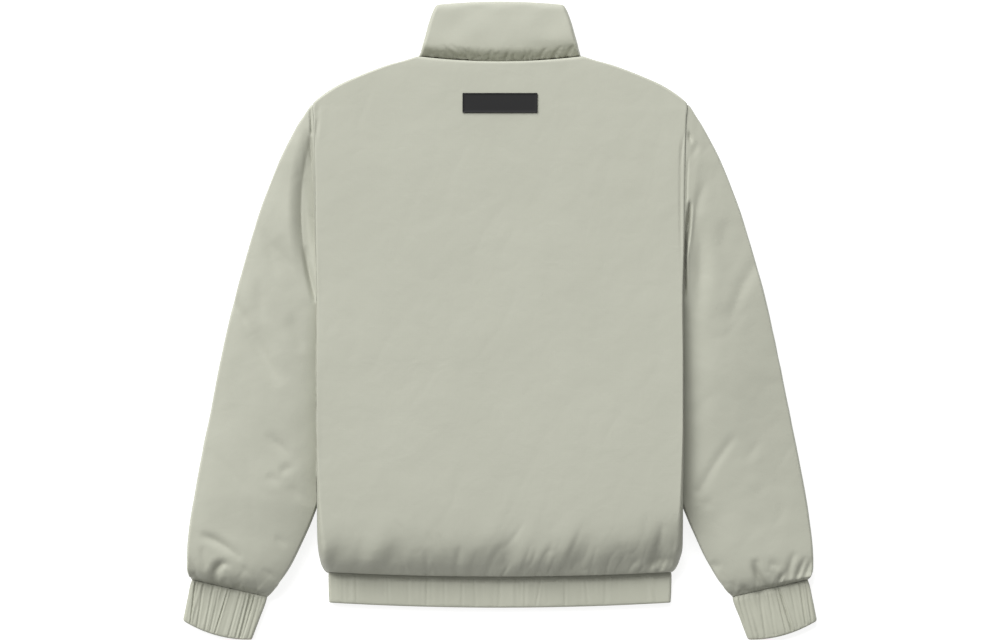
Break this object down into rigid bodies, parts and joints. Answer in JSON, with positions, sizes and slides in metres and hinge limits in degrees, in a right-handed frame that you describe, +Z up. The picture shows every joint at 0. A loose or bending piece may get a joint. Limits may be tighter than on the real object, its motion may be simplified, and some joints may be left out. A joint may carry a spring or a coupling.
{
  "type": "puffer jacket",
  "caption": "Zip-front puffer jacket with a padded stand collar, elastic hem and cuffs and a bare back patch, lying flat on its front",
  "frame": {"origin": "the middle of the outline of the jacket as it lies, on the floor under it", "axes": "+Z up from the floor through the back of the jacket, +Y towards the collar, +X to the wearer's right"},
  "size_m": [0.8128, 0.8178, 0.0653],
  "materials": {
    "shell": "smooth sage polyester shell cloth with a soft sheen, over padding",
    "band": "the same sage cloth gathered over elastic",
    "tape": "sage woven zip tape",
    "teeth": "moulded sage zip teeth",
    "metal": "dark plated zinc of the slider, its pull and the bottom box",
    "patch": "matt black rubber with a fine raised rim"
  },
  "bodies": {
    "jacket": {"back_panel": "shell", "front_left": "shell", "front_right": "shell", "sleeve_left": "shell", "sleeve_right": "shell", "cuff_left": "band", "cuff_right": "band", "hem_band": "band", "collar": "shell", "label_patch": "patch", "zip_tape_left": "tape", "zip_tape_right": "tape", "zip_teeth": "teeth", "zip_box": "metal", "zip_slider": "metal"},
    "pull": {"zip_pull": "metal"}
  },
  "joints": [
    {"name": "pull_swing", "type": "hinge", "parent": "jacket", "child": "pull", "pos_m": [0, 0.3924, 0.0085], "axis": [1, 0, 0], "range_deg": [-15, 155]}
  ]
}
